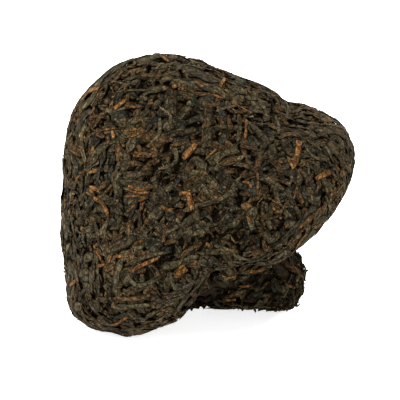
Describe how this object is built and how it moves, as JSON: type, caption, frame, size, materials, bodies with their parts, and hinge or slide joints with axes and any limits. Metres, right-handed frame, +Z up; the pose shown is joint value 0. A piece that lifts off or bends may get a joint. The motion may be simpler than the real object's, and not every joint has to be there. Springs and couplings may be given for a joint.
{
  "type": "mushroom tuocha",
  "caption": "Mushroom-shaped block of dark pressed tea leaves, a cone-like cap with a rolled rim on a short rough stem, lying tipped over on its rim and stem.",
  "frame": {"origin": "middle of the bounding box, on the surface that the lying tea rests on", "axes": "+Z up, +X towards the raised side of the cap's rim, +Y away from the side that is seen best"},
  "size_m": [0.0906, 0.0988, 0.082],
  "materials": {
    "tea": "dry pressed tea leaves, dark olive brown to blackish with brown and golden orange strips, dull with a faint sheen on the leaf backs"
  },
  "bodies": {
    "root": {"pressed_tea": "tea"}
  },
  "joints": []
}
